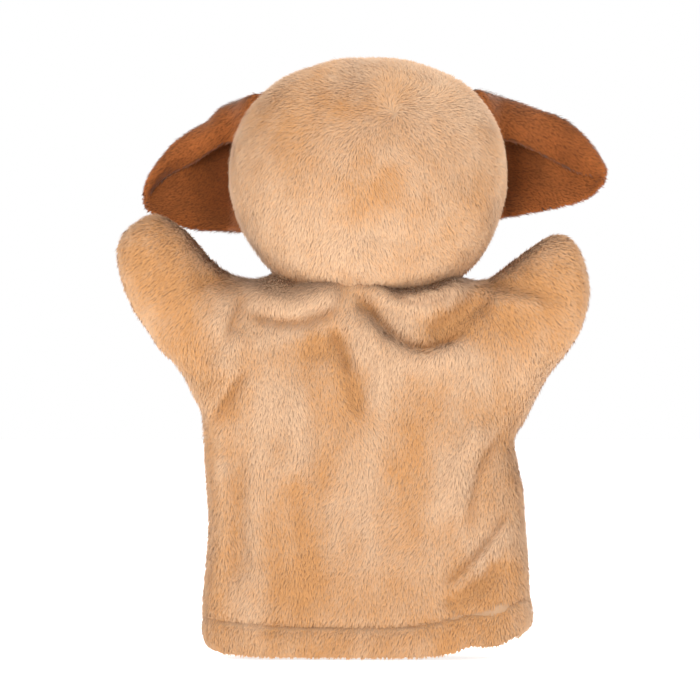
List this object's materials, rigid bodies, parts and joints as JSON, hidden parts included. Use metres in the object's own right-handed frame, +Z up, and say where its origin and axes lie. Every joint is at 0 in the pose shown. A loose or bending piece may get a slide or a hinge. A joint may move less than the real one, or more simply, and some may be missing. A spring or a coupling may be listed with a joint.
{
  "type": "hand puppet",
  "caption": "Plush glove puppet of a puppy, held on one hand: fingers fill the head and both arms, which tilt, nod and swing.",
  "frame": {"origin": "middle of the hand opening, at the hem's lower edge", "axes": "+Z up from the hem to the top of the head, -Y the way the face looks, +X the puppet's left"},
  "size_m": [0.2054, 0.1221, 0.25],
  "materials": {
    "tan_plush": "short soft pile, warm tan",
    "cream_plush": "short soft pile, cream",
    "brown_plush": "short soft pile, chestnut brown",
    "thread": "matte polyester thread",
    "mouth_thread": "satin embroidery thread",
    "label_tape": "woven satin tape, blank",
    "lining": "plain woven cotton",
    "stuffing": "loose polyester fibre",
    "eye_plastic": "polished dark plastic",
    "washer_plastic": "moulded matte plastic"
  },
  "bodies": {
    "glove": {"body_back": "tan_plush", "body_front": "tan_plush", "hem_turnup": "tan_plush", "hem_stitching": "thread", "side_seam_left": "tan_plush", "side_seam_right": "tan_plush", "care_label": "label_tape"},
    "collar": {"neck_gather": "tan_plush"},
    "neck": {"neck_seam": "thread"},
    "head": {"head_back_left": "tan_plush", "head_back_right": "tan_plush", "face_panel": "tan_plush", "muzzle": "cream_plush", "muzzle_stuffing": "stuffing", "head_stuffing": "stuffing", "finger_pocket": "lining", "eye_left": "eye_plastic", "eye_right": "eye_plastic", "eye_washer_left": "washer_plastic", "eye_washer_right": "washer_plastic", "nose": "eye_plastic", "nose_washer": "washer_plastic", "mouth_stitching": "mouth_thread"},
    "shoulder_left": {"underarm_seam_left": "tan_plush"},
    "arm_left": {"arm_left_back": "tan_plush", "arm_left_front": "tan_plush"},
    "shoulder_right": {"underarm_seam_right": "tan_plush"},
    "arm_right": {"arm_right_back": "tan_plush", "arm_right_front": "tan_plush"},
    "ear_left": {"ear_left_outer": "brown_plush", "ear_left_lining": "brown_plush"},
    "ear_right": {"ear_right_outer": "brown_plush", "ear_right_lining": "brown_plush"}
  },
  "joints": [
    {"name": "head_tilt", "type": "hinge", "parent": "glove", "child": "collar", "pos_m": [0, 0, 0.154], "axis": [0, 1, 0], "range_deg": [-8, 8]},
    {"name": "head_nod", "type": "hinge", "parent": "collar", "child": "neck", "pos_m": [0, 0, 0.154], "axis": [1, 0, 0], "range_deg": [-10, 20]},
    {"name": "head_turn", "type": "hinge", "parent": "neck", "child": "head", "pos_m": [0, 0, 0.154], "axis": [0, 0, 1], "range_deg": [-10, 10]},
    {"name": "arm_left_lower", "type": "hinge", "parent": "glove", "child": "shoulder_left", "pos_m": [0.0605, 0, 0.129], "axis": [0, 1, 0], "range_deg": [-5, 50]},
    {"name": "arm_left_forward", "type": "hinge", "parent": "shoulder_left", "child": "arm_left", "pos_m": [0.0605, 0, 0.129], "axis": [0.829, 0, -0.5592], "range_deg": [-8, 18]},
    {"name": "arm_right_lower", "type": "hinge", "parent": "glove", "child": "shoulder_right", "pos_m": [-0.0557, 0, 0.1234], "axis": [0, -1, 0], "range_deg": [-5, 50]},
    {"name": "arm_right_forward", "type": "hinge", "parent": "shoulder_right", "child": "arm_right", "pos_m": [-0.0557, 0, 0.1234], "axis": [0.8572, 0, 0.515], "range_deg": [-8, 50]},
    {"name": "ear_left_flap", "type": "hinge", "parent": "head", "child": "ear_left", "pos_m": [0.0465, -0.02525, 0.209], "axis": [0.2841, 0, -0.9588], "range_deg": [-10, 25]},
    {"name": "ear_right_flap", "type": "hinge", "parent": "head", "child": "ear_right", "pos_m": [-0.0465, -0.02525, 0.209], "axis": [0.2841, 0, 0.9588], "range_deg": [-10, 25]}
  ]
}
